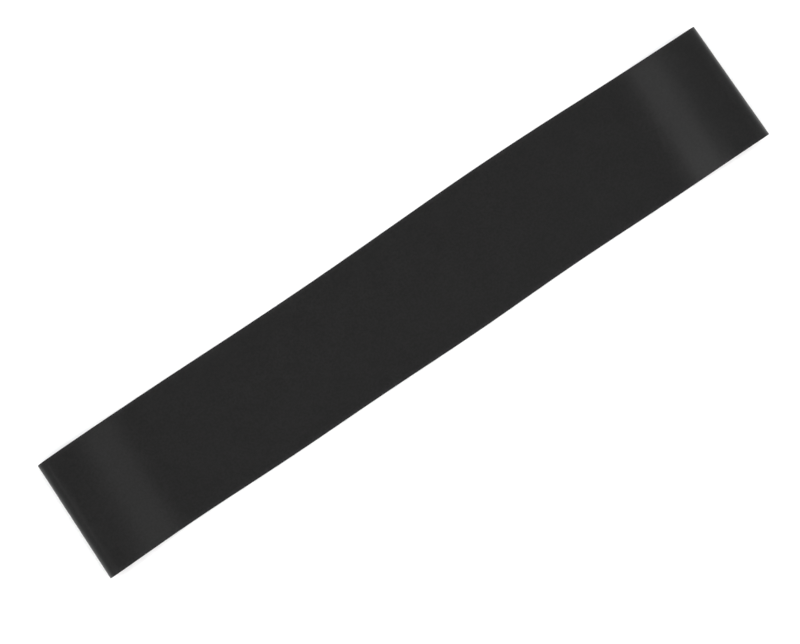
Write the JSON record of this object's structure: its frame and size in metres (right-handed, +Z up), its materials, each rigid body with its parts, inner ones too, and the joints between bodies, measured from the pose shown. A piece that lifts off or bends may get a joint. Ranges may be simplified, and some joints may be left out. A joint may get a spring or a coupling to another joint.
{
  "type": "stretching strap",
  "caption": "Flat one-piece rubber loop for stretching and resistance exercises, lying folded double.",
  "frame": {"origin": "on the ground under the middle of the folded strap", "axes": "+X along the strap, +Y across its width, +Z up from the ground"},
  "size_m": [0.296, 0.05, 0.0092],
  "materials": {
    "latex": "satin"
  },
  "bodies": {
    "ground_left": {"lower_left": "latex"},
    "left_end": {"left_fold": "latex", "upper_ply": "latex"},
    "right_end": {"right_fold": "latex"},
    "ground_right": {"lower_right": "latex"},
    "ground_middle": {"lower_middle": "latex"}
  },
  "joints": [
    {"name": "open", "type": "slide", "parent": "ground_left", "child": "left_end", "axis": [0, 0, 1], "range_m": [0, 0.08], "stiffness_N_per_m": 400, "deforming": ["lower_left"]},
    {"name": "stretch", "type": "slide", "parent": "left_end", "child": "right_end", "axis": [1, 0, 0], "range_m": [0, 0.3], "stiffness_N_per_m": 290, "deforming": ["upper_ply"]},
    {"name": "open_right", "type": "slide", "parent": "right_end", "child": "ground_right", "axis": [0, 0, -1], "range_m": [0, 0.08], "deforming": ["lower_right"]},
    {"name": "stretch_lower", "type": "slide", "parent": "ground_right", "child": "ground_middle", "axis": [-1, 0, 0], "range_m": [0, 0.3], "deforming": ["lower_middle"]}
  ],
  "couplings": [
    {"joint": "open_right", "follows": "open", "ratio": 1},
    {"joint": "stretch_lower", "follows": "stretch", "ratio": 1}
  ]
}
